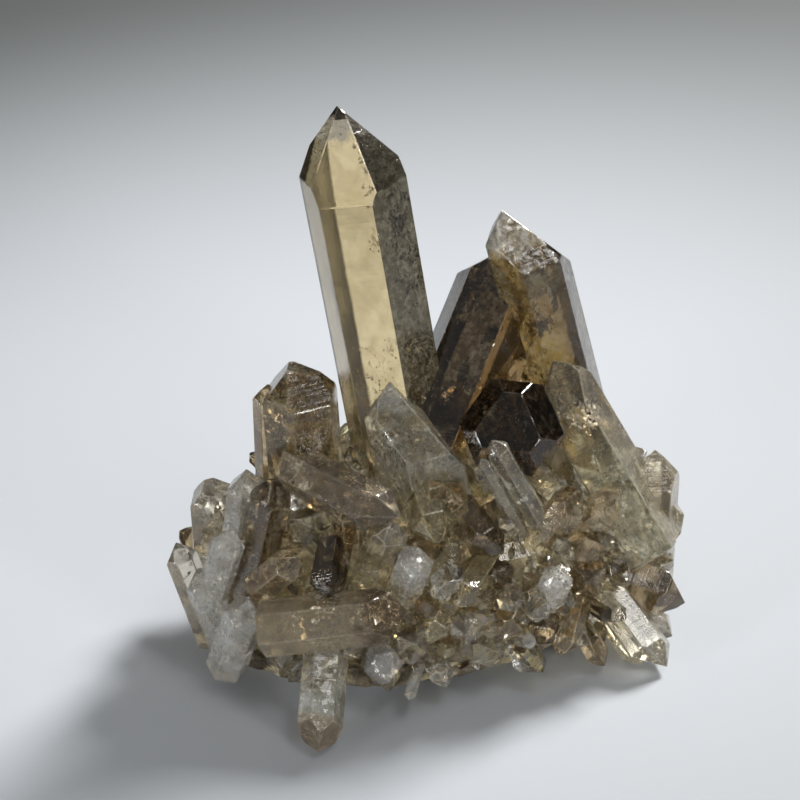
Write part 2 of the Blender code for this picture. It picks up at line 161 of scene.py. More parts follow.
# The large crystals, as in the solids, each with its look.
LARGE_CRYSTALS = {
    "tall_point": (
        dict(root=(3, 6, 34), tip=(-3.3, 13, 122.5), width=19.5, turn=-12, off=(3.5, -0.5), faces=TALL_TIP),
        TALL,
    ),
    "dark_leaning_point": (dict(root=(7, -3, 42), tip=(34, 30, 80.5), width=19.5, turn=25), LEANING),
    "frosted_point": (
        dict(root=(43, 14, 28), tip=(28.8, 16, 94.5), width=15, turn=15, off=(1, -2.8), cut=(-0.5, 1.45, 0.5)),
        FROSTED,
    ),
    "right_point": (dict(root=(53.5, -6.5, 20), tip=(36.3, 4, 63.5), width=16, turn=10, off=(0, 3.5)), RIGHT),
    "dark_end_on_point": (
        dict(root=(28.2, 4.5, 46), tip=(23.8, -18.5, 62.5), width=19.5, turn=-25, cut=(0, 0, 6.5)),
        END_ON,
    ),
    "clear_middle_point": (
        dict(root=(9, 1, 20), tip=(1.3, -4, 67), width=20.5, turn=10, off=(0, -5), cut=(-0.3, 1.9, 0.5)),
        MIDDLE,
    ),
    "stout_left_point": (dict(root=(-19.5, 5, 32), tip=(-18, 6, 70), width=15, turn=20, cut=(-0.1, 0.25, 3)), STOUT),
    "small_left_point": (dict(root=(-27, 8, 40), tip=(-25, 9, 62.5), width=6, turn=0, cut=(0, -0.2, 1)), BROWN),
    "forward_left_point": (dict(root=(-22, 1, 46), tip=(-1.1, -20, 43), width=9.5, turn=30, faces=SLANTED_TIP), FORWARD),
    "flat_topped_point": (dict(root=(-41, 4, 14), tip=(-38.8, 4, 44.5), width=11, turn=25, cut=(0, 0.1, 4)), GREY),
    "rounded_left_point": (dict(root=(-38, -6, 14), tip=(-30.6, -3, 49), width=8, turn=15, cut=(0.4, 0.3, 2)), SILVER),
    "long_left_point": (dict(root=(-38, -12, 10), tip=(-25, -8, 49), width=8.5, turn=30), UMBER),
    "grey_left_facet": (dict(root=(-43, -11.5, 20), tip=(-35, -14, 41), width=6.4, turn=0), SILVER),
    "far_left_point": (dict(root=(-43.5, -8, 8), tip=(-48.7, -4, 32.7), width=6.5, turn=20), GREY),
    "silver_left_point": (dict(root=(-39, -12, 7), tip=(-44, -12, 31), width=7.5, turn=10, cut=(0, 0.3, 1.5)), SILVER),
    "silver_front_point": (dict(root=(-41, -15, 6), tip=(-33, -22, 28), width=8, turn=0), SILVER),
    "lying_point": (dict(root=(-31, -24, 21.5), tip=(-0.4, -29, 25.5), width=10.5, turn=25, faces=LONG_TIP), LYING),
    "hanging_point": (dict(root=(-17, -20, 20), tip=(-21.6, -43, 3), width=8.5, turn=5, faces=LONG_TIP), HANGING),
    "long_rod": (dict(root=(31, -14, 32), tip=(21, -17, 58), width=4.5, turn=30), ROD),
    "short_rod": (dict(root=(26, -14, 32), tip=(18.5, -17, 54), width=2.8, turn=10), ROD),
    "olive_point": (dict(root=(23, -7, 30), tip=(17, -8, 53), width=7, turn=10, cut=(0.3, 0, 1.5)), OLIVE),
    "grey_facet_point": (
        dict(root=(26, -13, 23), tip=(38.5, -16, 43), width=7, turn=20, faces=THREE_SIDED_TIP),
        BROWN,
    ),
    "grey_facet_twin": (dict(root=(34, -9, 26), tip=(47, -14, 39), width=7.5, turn=0, faces=SLANTED_TIP), BROWN),
    "right_brown_point": (dict(root=(38, -7, 21), tip=(60.5, -14, 9.5), width=10, turn=10), RUSSET),
    "white_face_point": (dict(root=(42, -10, 16), tip=(53, -26, 2.5), width=8, turn=25, faces=SLANTED_TIP), PALE),
    "under_right_point": (dict(root=(40, -11, 13), tip=(49, -24, 2), width=5, turn=0), OLIVE),
    "under_right_twin": (dict(root=(35, -14, 12), tip=(41, -25, 3), width=5, turn=20), BROWN),
    "behind_right_point": (dict(root=(44, -6, 12), tip=(57, -17, 3), width=6, turn=10), GREY),
    "clear_right_point": (dict(root=(52, -5, 4), tip=(57, 0, 41), width=12, turn=5, off=(0, 1)), TAN),
    "clear_right_twin": (dict(root=(44, -4, 15), tip=(62.5, -3, 29), width=10, turn=15, cut=(0, 0, 2)), TAN),
    "clear_low_point": (dict(root=(44, -7, 17), tip=(60, -8, 17), width=8, turn=25, cut=(0, 0, 1)), TAN),
    "front_low_point": (dict(root=(-7, -20, 14), tip=(-5.5, -30, 6), width=5, turn=0), OLIVE),
    "front_low_twin": (dict(root=(3, -20, 13), tip=(6.5, -31, 6.5), width=5, turn=30), GREY),
    "amber_point": (dict(root=(-6, -14, 28), tip=(-9, -26, 34), width=8, turn=0, cut=(0, 0, 1)), OLIVE),
    "small_pair_point": (dict(root=(-11, -12, 30), tip=(-10.5, -16, 46.5), width=5.5, turn=10), BROWN),
    "middle_crust_point": (dict(root=(14, -6, 28), tip=(7.5, -15, 48), width=10, turn=20, cut=(0, 0.3, 1)), BROWN),
    "dark_crust_point": (dict(root=(12, -8, 38), tip=(21, -21, 32.5), width=8, turn=10), DARK),
    "round_crust_point": (dict(root=(6, -12, 42), tip=(8, -23, 38), width=8, turn=0), OLIVE),
    "left_crust_point": (dict(root=(-6, -15, 28), tip=(-1, -19, 42), width=6.5, turn=20), GREY),
    "silver_crust_point": (dict(root=(29, -18, 12), tip=(32.6, -25, 29.5), width=6.5, turn=10), SILVER),
    "grey_crust_point": (dict(root=(-2, -18, 20), tip=(4, -24.5, 38), width=7.5, turn=15), SILVER),
    "upper_left_crust_point": (dict(root=(-31, -16, 27), tip=(-21.5, -22, 38), width=7, turn=5), BROWN),
    "left_slope_point": (dict(root=(-14, -14, 34), tip=(-17, -27, 30), width=7.5, turn=15), DARK),
    "middle_slope_point": (dict(root=(17, -16, 27), tip=(10, -28, 25.5), width=7, turn=30), OLIVE),
    "right_slope_point": (dict(root=(26, -18, 20), tip=(18, -28, 15), width=7, turn=0), BROWN),
    "lower_slope_point": (dict(root=(36, -19, 18), tip=(31, -27.5, 9), width=6.5, turn=20), BROWN),
    "front_slope_point": (dict(root=(10, -20, 24), tip=(3.5, -30, 18), width=6, turn=10), OLIVE),
    "back_stout_point": (dict(root=(-14, 18, 24), tip=(-24, 31, 48), width=13, turn=15), BROWN),
    "back_tall_point": (dict(root=(27, 15, 20), tip=(27, 21, 63), width=17, turn=8), BROWN),
    "back_lying_point": (dict(root=(14, 20, 28), tip=(2, 42, 36), width=10, turn=25), GREY),
    "back_right_point": (dict(root=(32, 16, 18), tip=(44, 36, 31), width=12, turn=5, cut=(0, 0.3, 2)), OLIVE),
    "back_left_point": (dict(root=(-32, 14, 16), tip=(-45, 24, 27), width=9, turn=20), GREY),
    "back_low_point": (dict(root=(22, 24, 18), tip=(30, 42, 22), width=8, turn=0), BROWN),
    "back_hanging_point": (dict(root=(-12, 24, 20), tip=(-18, 42, 12), width=7.5, turn=10), GREY),
    "right_back_point": (dict(root=(42, 9, 14), tip=(55, 18, 24), width=9, turn=10), TAN),
    "left_back_point": (dict(root=(-36, 6, 16), tip=(-50, 14, 24), width=8, turn=30), BROWN),
}

# The crust's small crystals, as in the solids.
CRUST_COUNT = 98
CRUST_SPACING = 5.5
CRUST_HEIGHTS = (9.0, 41.0)
CRUST_LENGTH = (3.5, 8.5)
CRUST_WIDTH = (3.5, 8.0)
CRUST_DEPTH = 5.0
CRUST_TILT = 0.7
CRUST_SET_BACK = 0.25
LOWEST_TIP = 5.0
CRUST_LOOKS = (BROWN, OLIVE, GREY, OLIVE, PALE, SILVER, PALE, TAN, UMBER, DARK)
CRUST_SHADES = (0.5, 2.2)

# The fine crystals between them, which only the looks have: slim ones at all angles, and broken bits.
FINE_HEIGHTS = (7.5, 42.0)
FINE_DEPTH = 2.5
SLIM_ONES = dict(count=140, length=(4.5, 9.0), width=(1.8, 3.6), tilt=1.3)
TINY_ONES = dict(count=320, length=(1.5, 5.0), width=(0.9, 2.8), tilt=1.6)
BROKEN_COUNT = 170
BROKEN_SIZE = (0.6, 2.4)
BROKEN_CORNERS = 9

EDGE_WIDTH = 0.17
EDGE_FROST = 0.25

# The floor: its colours near the object and far from it, and where one passes into the other, in metres. This is a
# painted pool of light, pale round its middle and darker further off.
FLOOR_PAINTED_LIT = (0.40, 0.42, 0.45, 1)
FLOOR_PAINTED_UNLIT = (0.07, 0.075, 0.075, 1)
FLOOR_PAINTED_LIT_TO = 0.05
FLOOR_PAINTED_UNLIT_FROM = 0.42
FLOOR_PAINTED_POOL_MIDDLE = (-0.06, 0.07, 0)

# Inside the crystals: veils, which are curved sheets of tiny flakes, cracks, which are flatter and shine, and
# loose dust. For the tall point, each veil is listed one by one: how far up the axis, how far to the front and to the
# right as a share of the width, its half size in mm, how many flakes it has, and their colour.
TALL_VEILS = [
    (0.90, 0.10, 0.30, 4.5, 700, WHITE_DUST),
    (0.85, 0.15, 0.34, 4.0, 500, WHITE_DUST),
    (0.80, 0.0, 0.32, 5.0, 700, BROWN_DUST),
    (0.74, 0.1, 0.38, 5.0, 800, BROWN_DUST),
    (0.92, 0.0, 0.15, 4.0, 220, WHITE_DUST),
    (0.66, 0.0, 0.34, 6.0, 480, TAN_DUST),
    (0.57, 0.1, 0.38, 6.0, 800, BROWN_DUST),
    (0.48, 0.05, 0.36, 5.5, 420, TAN_DUST),
    (0.40, 0.05, 0.38, 6.5, 700, BROWN_DUST),
    (0.38, 0.1, 0.05, 7.0, 220, TAN_DUST),
    (0.30, 0.0, -0.15, 7.0, 300, TAN_DUST),
    (0.22, 0.1, 0.1, 7.5, 380, TAN_DUST),
    (0.12, 0.0, 0.0, 8.0, 420, CREAM_DUST),
]
VEILS_PER_LENGTH = 0.16
CRACKS_PER_LENGTH = 0.14
FLAKES_PER_AREA = 4.2
VEIL_FLAKE = (0.10, 0.42)
CRACK_FLAKE = (0.25, 0.80)
DUST_FLAKE = (0.05, 0.20)
FLAKE_MARGIN = 0.35
DUST_SHINE = 0.1
VEIL_SHINE = 0.3
CRACK_SHINE = 0.75
DUST_PER_AREA = 1.6
DUST_DEPTH = 1.6
CAP_DUST_DEPTH = 0.5
LUMP_VEILS = 200


# Shapes.


def across_axis(axis, turn):
    """Two directions across the axis: the first faces the front, turned to the right by the given degrees."""
    front = Vector((0, -1, 0))
    if abs(axis.dot(front)) > 0.85:
        front = Vector((0, 0, 1))
    across = (front - axis * front.dot(axis)).normalized()
    across = Matrix.Rotation(math.radians(turn), 3, axis) @ across
    return across, axis.cross(across)


def crystal_planes(root, tip, width, turn=0, off=(0, 0), faces=EVEN_TIP, cut=None):
    """The faces of one quartz crystal, as outward normals and distances from the origin."""
    root = Vector(root)
    tip = Vector(tip)
    axis = (tip - root).normalized()
    front, right = across_axis(axis, 0)
    middle = tip + front * off[0] - right * off[1]
    axis = (middle - root).normalized()
    first, second = across_axis(axis, turn)
    planes = [(-axis, -axis.dot(root))]
    for side in range(SIDES):
        angle = side * math.tau / SIDES
        outward = first * math.cos(angle) + second * math.sin(angle)
        planes.append((outward, outward.dot(middle) + width / 2))
        slope = outward * math.sin(TIP_FACE_TILT) + axis * math.cos(TIP_FACE_TILT)
        planes.append((slope, slope.dot(tip) + faces[side] * width * math.cos(TIP_FACE_TILT)))
    if cut:
        across = (axis + front * cut[0] + right * cut[1]).normalized()
        planes.append((across, across.dot(tip - axis * cut[2])))
    return planes


def corners_of(planes):
    """The corners of the convex solid that the planes enclose."""
    normals = np.array([plane[0][:] for plane in planes])
    distances = np.array([plane[1] for plane in planes])
    trios = np.array(list(itertools.combinations(range(len(planes)), 3)))
    trios = trios[np.abs(np.linalg.det(normals[trios])) > 1e-3]
    points = np.linalg.solve(normals[trios], distances[trios][..., None])[..., 0]
    inside = (points @ normals.T <= distances + 1e-6).all(axis=1)
    return points[inside]


def hull_shape(corners):
    """A closed bmesh with one flat face for each side of the corners' hull."""
    shape = bmesh.new()
    for corner in corners:
        shape.verts.new(Vector(corner) * MM)
    bmesh.ops.remove_doubles(shape, verts=shape.verts, dist=WELD * MM)
    hull = bmesh.ops.convex_hull(shape, input=shape.verts)
    unused = [item for item in hull["geom_interior"] if isinstance(item, bmesh.types.BMVert)]
    bmesh.ops.delete(shape, geom=unused, context="VERTS")
    bmesh.ops.dissolve_limit(shape, angle_limit=FLAT, verts=shape.verts, edges=shape.edges)
    return shape


def dress(shape, axis, look, seed, tip=None, turn=0):
    """Writes onto a crystal's corners its place along and across its faces, its colours and its look."""
    place = shape.loops.layers.uv.new("crystal")
    tint = shape.loops.layers.float_color.new("tint")
    state = shape.loops.layers.float_color.new("look")
    cap = shape.loops.layers.float_color.new("cap")
    worn = shape.faces.layers.int.get("worn")
    first, second = across_axis(axis, turn)
    for face in shape.faces:
        side = face.normal.cross(axis)
        if side.length < 0.05:
            side = axis.orthogonal()
        side.normalize()
        up = face.normal.cross(side)
        angle = math.atan2(face.normal.dot(second), face.normal.dot(first))
        side_number = round(angle / math.tau * SIDES) % SIDES
        # The side's tone: random on the crust, and painted shade or light on the large crystals, standing in for how
        # light falls and is reflected on that face.
        shade = look["shades"][side_number]
        cloud = min(look["cloud"] * look["clouds"][side_number], 1.0)
        colour = [min(part * shade, 1.0) for part in look["colour"]]
        wear = EDGE_FROST if worn and face[worn] else 0.0
        frost = max(look["frost"], wear)
        cap_frost = max(look["cap_frost"], wear)
        for corner in face.loops:
            point = corner.vert.co / MM
            below_tip = (tip - point).dot(axis) if tip else 100.0
            corner[place].uv = (point.dot(side) + seed * 40, point.dot(up) + seed * 70)
            corner[tint] = (*colour, cloud)
            corner[state] = (frost, cap_frost, look["cap_length"], 1.0)
            corner[cap] = (*look["cap"], below_tip)


def crystal(name, look, seed, root, tip, edge=EDGE_WIDTH, **form):
    """One crystal with narrow bright edges, as an object that carries its look."""
    shape = hull_shape(corners_of(crystal_planes(root, tip, **form)))
    if edge:
        worn = shape.faces.layers.int.new("worn")
        made = bmesh.ops.bevel(
            shape, geom=list(shape.edges), offset=edge * MM, segments=1, affect="EDGES", clamp_overlap=True
        )
        for face in made["faces"]:
            face[worn] = 1
        bmesh.ops.remove_doubles(shape, verts=shape.verts, dist=0.001 * MM)
    shape.normal_update()
    axis = (Vector(tip) - Vector(root)).normalized()
    dress(shape, axis, look, seed, Vector(tip), form.get("turn", 0))
    if edge:
        shape.faces.layers.int.remove(shape.faces.layers.int["worn"])
    mesh = bpy.data.meshes.new(name)
    shape.to_mesh(mesh)
    shape.free()
    return bpy.data.objects.new(name, mesh)


def ring(level, segments, grow, rough, rng):
    """One closed outline of a lump: an ellipse with its points moved in and out at random."""
    height, middle_x, middle_y, half_width, half_depth = level
    points = []
    for index in range(segments):
        angle = index * math.tau / segments
        push = grow + rng.uniform(-rough, rough)
        x = middle_x + (half_width + push) * math.cos(angle)
        y = middle_y + (half_depth + push) * math.sin(angle)
        points.append(Vector((x, y, height + rng.uniform(-rough, rough) / 2)))
    return points


def lump_shape(rings):
    """A closed bmesh through the rings, with a flat face at its foot and at its top."""
    shape = bmesh.new()
    loops = [[shape.verts.new(point * MM) for point in points] for points in rings]
    for lower, upper in itertools.pairwise(loops):
        for index, corner in enumerate(lower):
            following = (index + 1) % len(lower)
            shape.faces.new((corner, lower[following], upper[following]))
            shape.faces.new((corner, upper[following], upper[index]))
    shape.faces.new(list(reversed(loops[0])))
    shape.faces.new(loops[-1])
    bmesh.ops.recalc_face_normals(shape, faces=shape.faces)
    shape.normal_update()
    return shape


def rock_rings(grow):
    """The rock's outlines. Grow makes every side larger by that much, for the hollow that it sits in."""
    rng = random.Random(SEED)
    rings = [ring(level, ROCK_SEGMENTS, grow, ROCK_ROUGHNESS, rng) for level in ROCK_LEVELS]
    rings[0] = [Vector((point.x, point.y, ROCK_LEVELS[0][0] - grow)) for point in rings[0]]
    rings[-1] = [Vector((point.x, point.y, ROCK_LEVELS[-1][0] + grow)) for point in rings[-1]]
    return rings


def lump_point(height, angle):
    """A point of the crust's smooth lump."""
    levels = np.array(LUMP_LEVELS)
    middle_x, middle_y, half_width, half_depth = (
        float(np.interp(height, levels[:, 0], levels[:, column])) for column in range(1, 5)
    )
    x = middle_x + half_width * math.cos(angle)
    y = middle_y + half_depth * math.sin(angle)
    return Vector((x, y, height))


def lump_normal(height, angle):
    """The direction that the lump faces there."""
    along = lump_point(height, angle + 0.05) - lump_point(height, angle - 0.05)
    up = lump_point(height + 1.5, angle) - lump_point(height - 1.5, angle)
    return along.cross(up).normalized()


def is_inside(point, planes, margin):
    """Whether a point lies inside the planes' solid, by at least the margin."""
    return all(normal.dot(point) < distance - margin for normal, distance in planes)


def varied_look(rng):
    """One of the crust's looks, with sides of uneven depth."""
    shades = [rng.uniform(*CRUST_SHADES) for _ in range(SIDES)]
    return rng.choice(CRUST_LOOKS) | dict(shades=shades)


def crust_crystals(rng, large):
    """The solids' small crystals all over the lump, each tilted at random from the way the lump faces."""
    looks = random.Random(SEED + 1)
    roots = []
    crystals = []
    while len(crystals) < CRUST_COUNT:
        height = rng.uniform(*CRUST_HEIGHTS)
        angle = rng.uniform(0, math.tau)
        root = lump_point(height, angle)
        if any((root - other).length < CRUST_SPACING for other in roots):
            continue
        roots.append(root)
        tilt = Vector([rng.gauss(0, CRUST_TILT / 2) for _ in range(3)])
        way = (lump_normal(height, angle) + tilt).normalized()
        tip = root + way * rng.uniform(*CRUST_LENGTH)
        tip.z = max(tip.z, LOWEST_TIP)
        if any(is_inside(tip, planes, 0) for planes in large):
            continue
        faces = [rng.uniform(0, CRUST_SET_BACK) for _ in range(SIDES)]
        form = dict(width=rng.uniform(*CRUST_WIDTH), turn=rng.uniform(0, 60), faces=faces)
        look = varied_look(looks)
        crystals.append(crystal("crust", look, looks.random(), root - way * CRUST_DEPTH, tip, **form))
    return crystals


def fine_crystals(rng, large, count, length, width, tilt):
    """Finer crystals at all angles, which fill the places between the others."""
    crystals = []
    while len(crystals) < count:
        height = rng.uniform(*FINE_HEIGHTS)
        angle = rng.uniform(0, math.tau)
        root = lump_point(height, angle)
        lean = Vector([rng.gauss(0, tilt / 2) for _ in range(3)])
        way = (lump_normal(height, angle) + lean).normalized()
        tip = root + way * rng.uniform(*length)
        if tip.z < LOWEST_TIP or any(is_inside(tip, planes, -0.3) for planes in large):
            continue
        form = dict(width=rng.uniform(*width), turn=rng.uniform(0, 60))
        look = varied_look(rng)
        crystals.append(
            crystal("fine", look, rng.random(), root - way * FINE_DEPTH, tip, edge=0, **form)
        )
    return crystals


def broken_bits(large):
    """Broken crystals with no faces of their own, wedged into the crust."""
    rng = random.Random(SEED + 4)
    bits = []
    while len(bits) < BROKEN_COUNT:
        height = rng.uniform(*FINE_HEIGHTS)
        angle = rng.uniform(0, math.tau)
        normal = lump_normal(height, angle)
        middle = lump_point(height, angle) + normal * rng.uniform(-0.5, 1.8)
        if middle.z < LOWEST_TIP + 2 or any(is_inside(middle, planes, -0.3) for planes in large):
            continue
        size = rng.uniform(*BROKEN_SIZE)
        long_way = Vector([rng.gauss(0, 1) for _ in range(3)]).normalized()
        corners = []
        for _ in range(BROKEN_CORNERS):
            corner = Vector([rng.gauss(0, 0.6) for _ in range(3)]) * size
            corners.append(middle + corner + long_way * rng.uniform(-1, 1) * size)
        shape = hull_shape(corners)
        shape.normal_update()
        dress(shape, long_way, varied_look(rng), rng.random())
        mesh = bpy.data.meshes.new("bit")
        shape.to_mesh(mesh)
        shape.free()
        bits.append(bpy.data.objects.new("bit", mesh))
    return bits


def slack(places, planes):
    """How far inside the planes' solid each of the places is."""
    normals = np.array([plane[0][:] for plane in planes])
    distances = np.array([plane[1] for plane in planes])
    return (distances - places @ normals.T).min(axis=1)


def flakes(rng, places, normal, spread, sizes):
    """A small flat four-sided flake at each place, tilted at random from the normal: their corners."""
    count = len(places)
    size = sizes[0] + (sizes[1] - sizes[0]) * rng.uniform(0, 1, count) ** 3
    tilt = rng.normal(0, spread, (count, 3)) + np.array(normal)
    tilt /= np.linalg.norm(tilt, axis=1)[:, None]
    side = np.cross(tilt, rng.normal(0, 1, (count, 3)))
    side /= np.linalg.norm(side, axis=1)[:, None]
    up = np.cross(tilt, side)
    turns = rng.uniform(0, math.tau, count)[:, None] + np.array([0, 1.9, 3.4, 4.9])
    reach = size[:, None] * rng.uniform(0.5, 1.2, turns.shape)
    corners = (
        places[:, None]
        + (np.cos(turns) * reach)[..., None] * side[:, None]
        + (np.sin(turns) * reach)[..., None] * up[:, None]
    )
    return corners.reshape(-1, 3)


def sheet_of_flakes(rng, middle, normal, radius, count, planes, spread=0.35, sizes=VEIL_FLAKE):
    """Flakes scattered over a curved sheet with gaps in it, where they are inside the planes."""
    across = normal.orthogonal().normalized()
    other = normal.cross(across)
    angles = rng.uniform(0, math.tau, count)
    reach = radius * np.sqrt(rng.uniform(0, 1, count)) * rng.uniform(0.75, 1.0, count)
    first, second = np.cos(angles) * reach, np.sin(angles) * reach
    bend = rng.uniform(-0.06, 0.06, 3) * spread / 0.35
    wave = np.sin(first * rng.uniform(0.3, 0.9)) * 0.5 + np.cos(second * rng.uniform(0.3, 0.9)) * 0.5
    lift = bend[0] * first**2 + bend[1] * second**2 + bend[2] * first * second + wave * spread / 0.35
    places = (
        np.array(middle)
        + first[:, None] * np.array(across)
        + second[:, None] * np.array(other)
        + lift[:, None] * np.array(normal)
    )
    patchy = np.array([noise.noise(Vector(place) * 0.35) for place in places])
    keep = patchy > rng.uniform(-0.45, 0.05)
    if planes:
        keep &= slack(places, planes) > FLAKE_MARGIN
    return flakes(rng, places[keep], normal, spread, sizes)


def dust(rng, form, look, planes):
    """Loose flakes close under the faces, thin all over and thick in a frosted cap: each lot and its colour."""
    root, tip = Vector(form["root"]), Vector(form["tip"])
    width = form["width"]
    axis = (tip - root).normalized()
    length = (tip - root).length
    groups = []
    everywhere = int(DUST_PER_AREA * look["dust"] * length * width)
    capped = int(70 * look["cap_frost"] * look["cap_length"] * width)
    kinds = (
        (everywhere, length * 0.75, DUST_DEPTH, look["dust_colour"]),
        (capped, look["cap_length"], CAP_DUST_DEPTH, WHITE_DUST),
    )
    for count, reach, depth, colour in kinds:
        if not count:
            continue
        down = rng.uniform(0, reach, count)
        spot = rng.uniform(-0.75, 0.75, (count, 3)) * width
        spot -= (spot @ np.array(axis))[:, None] * np.array(axis)
        places = np.array(tip) - down[:, None] * np.array(axis) + spot
        room = slack(places, planes)
        patchy = np.array([noise.noise(Vector(place) * 0.3) for place in places])
        keep = (room > 0.08) & (room < depth) & (patchy > rng.uniform(-0.6, 0.5, count))
        groups.append((flakes(rng, places[keep], axis, 2.0, DUST_FLAKE), colour))
    return groups


def make_veils():
    """What the crystals hold inside, as one mesh of coloured flakes."""
    rng = np.random.default_rng(SEED)
    groups = []
    colours = []

    def keep(corners, colour, shine=0.3):
        groups.append(corners)
        colours.append(np.tile((*colour, shine), (len(corners), 1)))

    for name, (form, look) in LARGE_CRYSTALS.items():
        planes = crystal_planes(**form)
        root, tip = Vector(form["root"]), Vector(form["tip"])
        width = form["width"]
        axis = (tip - root).normalized()
        front, right = across_axis(axis, form.get("turn", 0))
        for corners, colour in dust(rng, form, look, planes):
            keep(corners, colour, DUST_SHINE)
        if name == "tall_point":
            for along, ahead, aside, radius, count, colour in TALL_VEILS:
                middle = root.lerp(tip, along) + front * ahead * width + right * aside * width
                normal = Vector(rng.normal(0, 0.5, 3)) + right + axis * 0.4
                keep(sheet_of_flakes(rng, middle, normal.normalized(), radius, count, planes), colour)
            continue
        length = (tip - root).length
        kinds = (
            (VEILS_PER_LENGTH * (0.4 + look["cloud"]), 0.35, VEIL_FLAKE, look["dust_colour"], VEIL_SHINE),
            (CRACKS_PER_LENGTH * look["cracks"], 0.08, CRACK_FLAKE, WHITE_DUST, CRACK_SHINE),
        )
        for per_length, spread, sizes, colour, shine in kinds:
            for _ in range(max(1, round(length * per_length))):
                away = front * rng.uniform(-0.3, 0.3) + right * rng.uniform(-0.3, 0.3)
                middle = root.lerp(tip, rng.uniform(0.25, 0.9)) + away * width
                radius = width * rng.uniform(0.2, 0.5)
                normal = Vector(rng.normal(0, 1, 3)).normalized()
                count = int(FLAKES_PER_AREA * radius**2 * rng.uniform(0.5, 1.5))
                keep(sheet_of_flakes(rng, middle, normal, radius, count, planes, spread, sizes), colour, shine)
    for number in range(LUMP_VEILS):
        angle = rng.uniform(0, math.tau)
        height = rng.uniform(12, 38)
        middle = lump_point(height, angle) - lump_normal(height, angle) * rng.uniform(2.0, 6)
        normal = Vector(rng.normal(0, 1, 3)).normalized()
        radius = rng.uniform(1.5, 4)
        if number % 2:
            keep(sheet_of_flakes(rng, middle, normal, radius, 60, None), CREAM_DUST)
        else:
            keep(sheet_of_flakes(rng, middle, normal, radius, 70, None, 0.08, CRACK_FLAKE), WHITE_DUST, CRACK_SHINE)
    corners = np.concatenate(groups) * MM
    faces = np.arange(len(corners)).reshape(-1, 4)
    mesh = bpy.data.meshes.new("veils")
    mesh.from_pydata(corners.tolist(), [], faces.tolist())
    tint = mesh.color_attributes.new("tint", "FLOAT_COLOR", "CORNER")
    tint.data.foreach_set("color", np.concatenate(colours).ravel())
    veils = bpy.data.objects.new("veils", mesh)
    bpy.context.scene.collection.objects.link(veils)
    print("flakes", len(faces))
    return veils


def combine(base, name, operation, others):
    """A Boolean between the base and a group of other solids, which are no part of the result themselves."""
    group = bpy.data.collections.new(name)
    for other in others:
        group.objects.link(other)
    modifier = base.modifiers.new(name, "BOOLEAN")
    modifier.operation = operation
    modifier.operand_type = "COLLECTION"
    modifier.collection = group
    modifier.solver = "MANIFOLD"


def outer_shell(shape):
    """Deletes all but the tallest shell of a mesh: what a join leaves inside is no surface of the quartz."""
    waiting = set(shape.verts)
    shells = []
    while waiting:
        edge_of_shell = [waiting.pop()]
        shell = set(edge_of_shell)
        while edge_of_shell:
            for edge in edge_of_shell.pop().link_edges:
                for corner in edge.verts:
                    if corner not in shell:
                        shell.add(corner)
                        edge_of_shell.append(corner)
        waiting -= shell
        shells.append(shell)
    shells.sort(key=lambda shell: max(v.co.z for v in shell) - min(v.co.z for v in shell))
    for shell in shells[:-1]:
        bmesh.ops.delete(shape, geom=list(shell), context="VERTS")


def make_quartz():
    """All the quartz as one closed mesh."""
    rng = random.Random(SEED)
    rings = [ring(level, LUMP_SEGMENTS, 0, LUMP_ROUGHNESS, rng) for level in LUMP_LEVELS]
    shape = lump_shape(rings)
    dress(shape, Vector((0, 0, 1)), OLIVE, 0.5)
    mesh = bpy.data.meshes.new("quartz")
    shape.to_mesh(mesh)
    shape.free()
    quartz = bpy.data.objects.new("quartz", mesh)
    bpy.context.scene.collection.objects.link(quartz)
    large = [crystal_planes(**form) for form, _ in LARGE_CRYSTALS.values()]
    looks = random.Random(SEED + 3)
    grown = [
        crystal(name, look, looks.random(), **form) for name, (form, look) in LARGE_CRYSTALS.items()
    ]
    grown += crust_crystals(rng, large)
    fine = random.Random(SEED + 2)
    grown += fine_crystals(fine, large, **SLIM_ONES) + fine_crystals(fine, large, **TINY_ONES)
    grown += broken_bits(large)
    hollow_shape = lump_shape(rock_rings(GAP))
    dress(hollow_shape, Vector((0, 0, 1)), OLIVE, 0.5)
    hollow_mesh = bpy.data.meshes.new("hollow")
    hollow_shape.to_mesh(hollow_mesh)
    hollow_shape.free()
    hollow = bpy.data.objects.new("hollow", hollow_mesh)
    combine(quartz, "growths", "UNION", grown)
    combine(quartz, "hollows", "DIFFERENCE", [hollow])
    bpy.context.view_layer.update()
    graph = bpy.context.evaluated_depsgraph_get()
    whole = bpy.data.meshes.new_from_object(quartz.evaluated_get(graph))
    quartz.modifiers.clear()
    for helper in grown + [hollow]:
        bpy.data.objects.remove(helper, do_unlink=True)
    shape = bmesh.new()
    shape.from_mesh(whole)
    outer_shell(shape)
    shape.to_mesh(whole)
    shape.free()
    whole.materials.clear()
    quartz.data = whole
    return quartz


# Materials.


